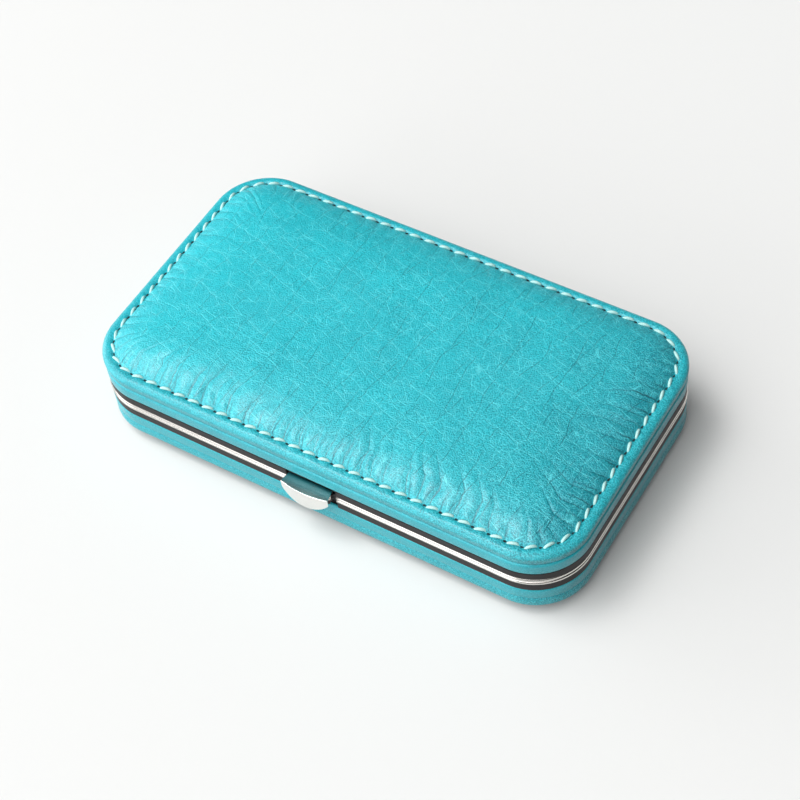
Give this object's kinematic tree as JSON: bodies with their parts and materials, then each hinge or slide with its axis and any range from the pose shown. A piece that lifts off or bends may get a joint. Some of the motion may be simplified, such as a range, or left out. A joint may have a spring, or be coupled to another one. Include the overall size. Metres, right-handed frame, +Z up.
{
  "type": "manicure set case",
  "caption": "Hinged, leather-covered clamshell case with a push-button latch and a lining with loops holding a nail-care tool set.",
  "frame": {"origin": "centre of the closed case's rounded outline, on the table that the base's pressed-flat pad rests on", "axes": "+X along the case's length, +Y from the latch towards the hinge, +Z up through the lid"},
  "size_m": [0.12, 0.0729, 0.024],
  "materials": {
    "turquoise_leather": "pebbled and semi-matt with a soft sheen",
    "loop_leather": "smooth and semi-matt with a stitched edge",
    "pad_foam": "open-cell foam",
    "grey_board": "pressed grey board",
    "moulded_shell": "matt black moulding",
    "black_trim": "satin black",
    "velour": "short black velour",
    "nickel_plate": "polished nickel plate",
    "hardware_steel": "satin nickel plate",
    "tool_steel": "polished stainless steel",
    "file_steel": "cross-cut file surface",
    "black_grip": "glossy black"
  },
  "bodies": {
    "base": {"base_cover": "turquoise_leather", "base_foam": "pad_foam", "base_board": "grey_board", "base_side_leather": "turquoise_leather", "base_shell": "moulded_shell", "base_frame": "nickel_plate", "base_trim_band": "black_trim", "base_lining": "velour", "base_hinge_leaf": "hardware_steel", "base_hinge_rivets": "hardware_steel", "hinge_pin": "hardware_steel", "latch_housing": "hardware_steel", "latch_rivets": "hardware_steel", "latch_spring": "hardware_steel", "base_tool_loops": "loop_leather", "clipper_lower_jaw": "tool_steel", "clipper_upper_jaw": "tool_steel", "clipper_lever": "tool_steel", "clipper_pin": "tool_steel", "tweezers": "tool_steel", "cuticle_pusher": "tool_steel", "nail_file": "file_steel", "nail_file_handle": "black_grip"},
    "lid": {"lid_cover": "turquoise_leather", "lid_foam": "pad_foam", "lid_board": "grey_board", "lid_side_leather": "turquoise_leather", "lid_shell": "moulded_shell", "lid_frame": "nickel_plate", "lid_trim_band": "black_trim", "lid_lining": "velour", "lid_hinge_leaf": "hardware_steel", "lid_hinge_rivets": "hardware_steel", "lid_strike": "hardware_steel", "lid_strike_rivets": "hardware_steel", "lid_tool_loops": "loop_leather", "scissors_blade_upper": "tool_steel", "scissors_screw": "tool_steel"},
    "button": {"latch_button": "nickel_plate", "latch_hook": "hardware_steel"},
    "scissors_blade": {"scissors_blade_lower": "tool_steel"}
  },
  "joints": [
    {"name": "lid_hinge", "type": "hinge", "parent": "base", "child": "lid", "pos_m": [0, 0.0345, 0.012], "axis": [-1, 0, 0], "range_deg": [0, 180]},
    {"name": "button_press", "type": "slide", "parent": "base", "child": "button", "axis": [0, 1, 0], "range_m": [0, 0.0009], "stiffness_N_per_m": 800, "springref_m": -0.001, "deforming": ["latch_spring"]},
    {"name": "scissors_pivot", "type": "hinge", "parent": "lid", "child": "scissors_blade", "pos_m": [0, 0.006, 0.01525], "axis": [0, 0, 1], "range_deg": [0, 27]}
  ]
}
